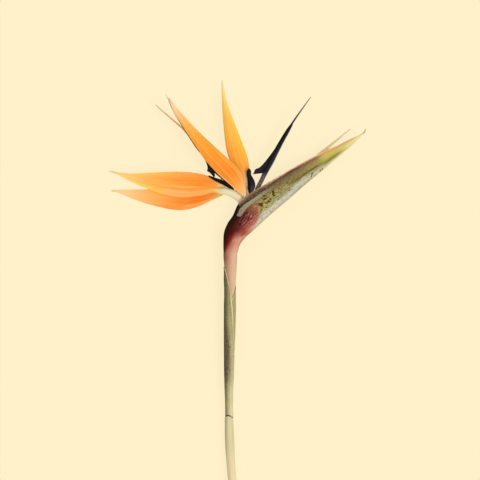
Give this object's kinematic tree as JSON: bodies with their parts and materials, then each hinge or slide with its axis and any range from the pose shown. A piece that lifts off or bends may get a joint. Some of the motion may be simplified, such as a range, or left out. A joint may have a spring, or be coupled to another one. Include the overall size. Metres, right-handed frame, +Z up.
{
  "type": "bird of paradise flower",
  "caption": "Cut bird of paradise flower lying on its side: long stalk, hooked boat-shaped spathe, orange sepals spread like a crest and dark blue arrow petals.",
  "frame": {"origin": "the middle of the flower's box, on the surface that it lies on", "axes": "+Y along the stalk, from its cut end to the tips of the sepals; +Z up, from the surface to the side that is seen; +X towards the hooked tip of the spathe"},
  "size_m": [0.2316, 0.38, 0.0282],
  "materials": {
    "stalk": "satin",
    "sheath": "satin",
    "spathe": "satin",
    "cream": "satin",
    "orange": "satin",
    "blue": "satin",
    "bud": "satin"
  },
  "bodies": {
    "root": {"stalk": "stalk", "stalk_sheath": "sheath", "spathe": "spathe", "first_floret_tube": "cream", "first_sepal_upper": "orange", "first_sepal_lower": "orange", "first_sepal_on_edge": "orange", "first_petal_hood": "blue", "first_petals_arrow": "blue", "second_floret_tube": "cream", "second_sepal_front": "orange", "second_sepal_tall": "orange", "second_sepal_hidden": "orange", "second_petal_hood": "blue", "second_petals_arrow": "blue", "unopened_bud": "bud"}
  },
  "joints": []
}
